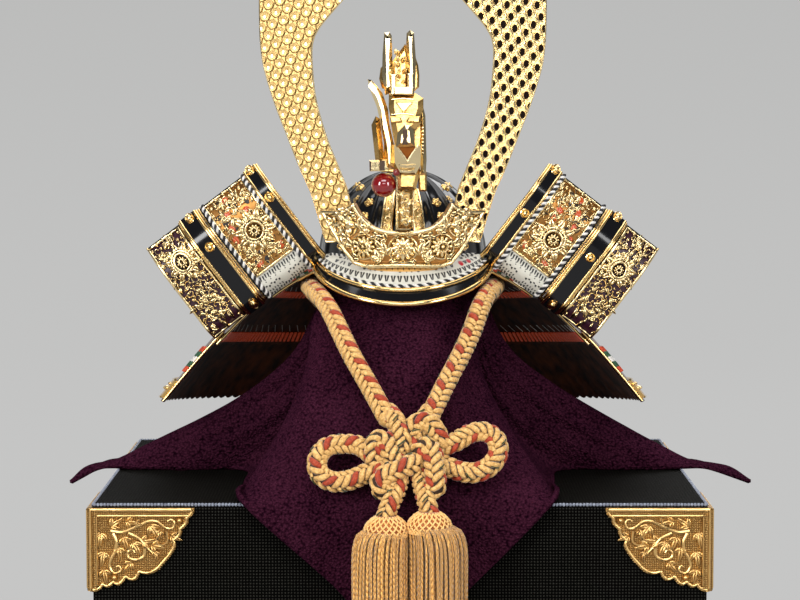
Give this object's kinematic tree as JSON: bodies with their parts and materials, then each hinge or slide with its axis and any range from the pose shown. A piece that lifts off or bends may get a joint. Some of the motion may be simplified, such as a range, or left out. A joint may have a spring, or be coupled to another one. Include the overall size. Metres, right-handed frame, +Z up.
{
  "type": "miniature samurai helmet (kabuto) with its cloth-draped post, storage chest and base board",
  "caption": "Black lacquer display kabuto with gold horns, dragon crest, purple crepe cloth and a knotted tasselled cord, on its black chest and glossy board.",
  "frame": {"origin": "centre of the board's underside", "axes": "+Z up, -Y towards the front of the helmet, +X to the viewer's right"},
  "size_m": [0.316, 0.24, 0.3177],
  "materials": {
    "base_lacquer": "gloss black lacquer",
    "chest_cloth": "coarse woven black cloth",
    "post_wood": "plain",
    "purple_crepe": "crepe",
    "black_lacquer": "gloss black lacquer",
    "gold_metal": "gilt, satin",
    "bright_gold": "gilt, polished",
    "red_glass": "gloss red",
    "cord_braid": "silk braid",
    "tassel_silk": "twisted silk"
  },
  "bodies": {
    "root": {"base_board": "base_lacquer", "chest_body": "chest_cloth", "chest_lid": "chest_cloth", "corner_fitting_front_left": "gold_metal", "corner_fitting_front_right": "gold_metal", "corner_fitting_back_left": "gold_metal", "corner_fitting_back_right": "gold_metal", "stand_post": "post_wood", "display_cloth": "purple_crepe", "hachi_bowl": "black_lacquer", "crown_fitting": "gold_metal", "front_gilt_strips": "gold_metal", "visor": "black_lacquer", "visor_rim_lower": "gold_metal", "visor_rim_upper": "gold_metal", "crest_base": "gold_metal", "kuwagata_right": "bright_gold", "kuwagata_left": "bright_gold", "dragon_crest": "gold_metal", "dragon_jewel": "red_glass", "wing_upper_right": "black_lacquer", "wing_upper_left": "black_lacquer", "wing_upper_relief_right": "gold_metal", "wing_upper_relief_left": "gold_metal", "wing_lower_right": "black_lacquer", "wing_lower_left": "black_lacquer", "wing_lower_openwork_right": "gold_metal", "wing_lower_openwork_left": "gold_metal", "shikoro_lame_1": "black_lacquer", "shikoro_lame_2": "black_lacquer", "shikoro_lame_3": "black_lacquer", "chin_cord": "cord_braid", "cord_knot": "cord_braid", "tassel_left": "tassel_silk", "tassel_right": "tassel_silk"}
  },
  "joints": []
}
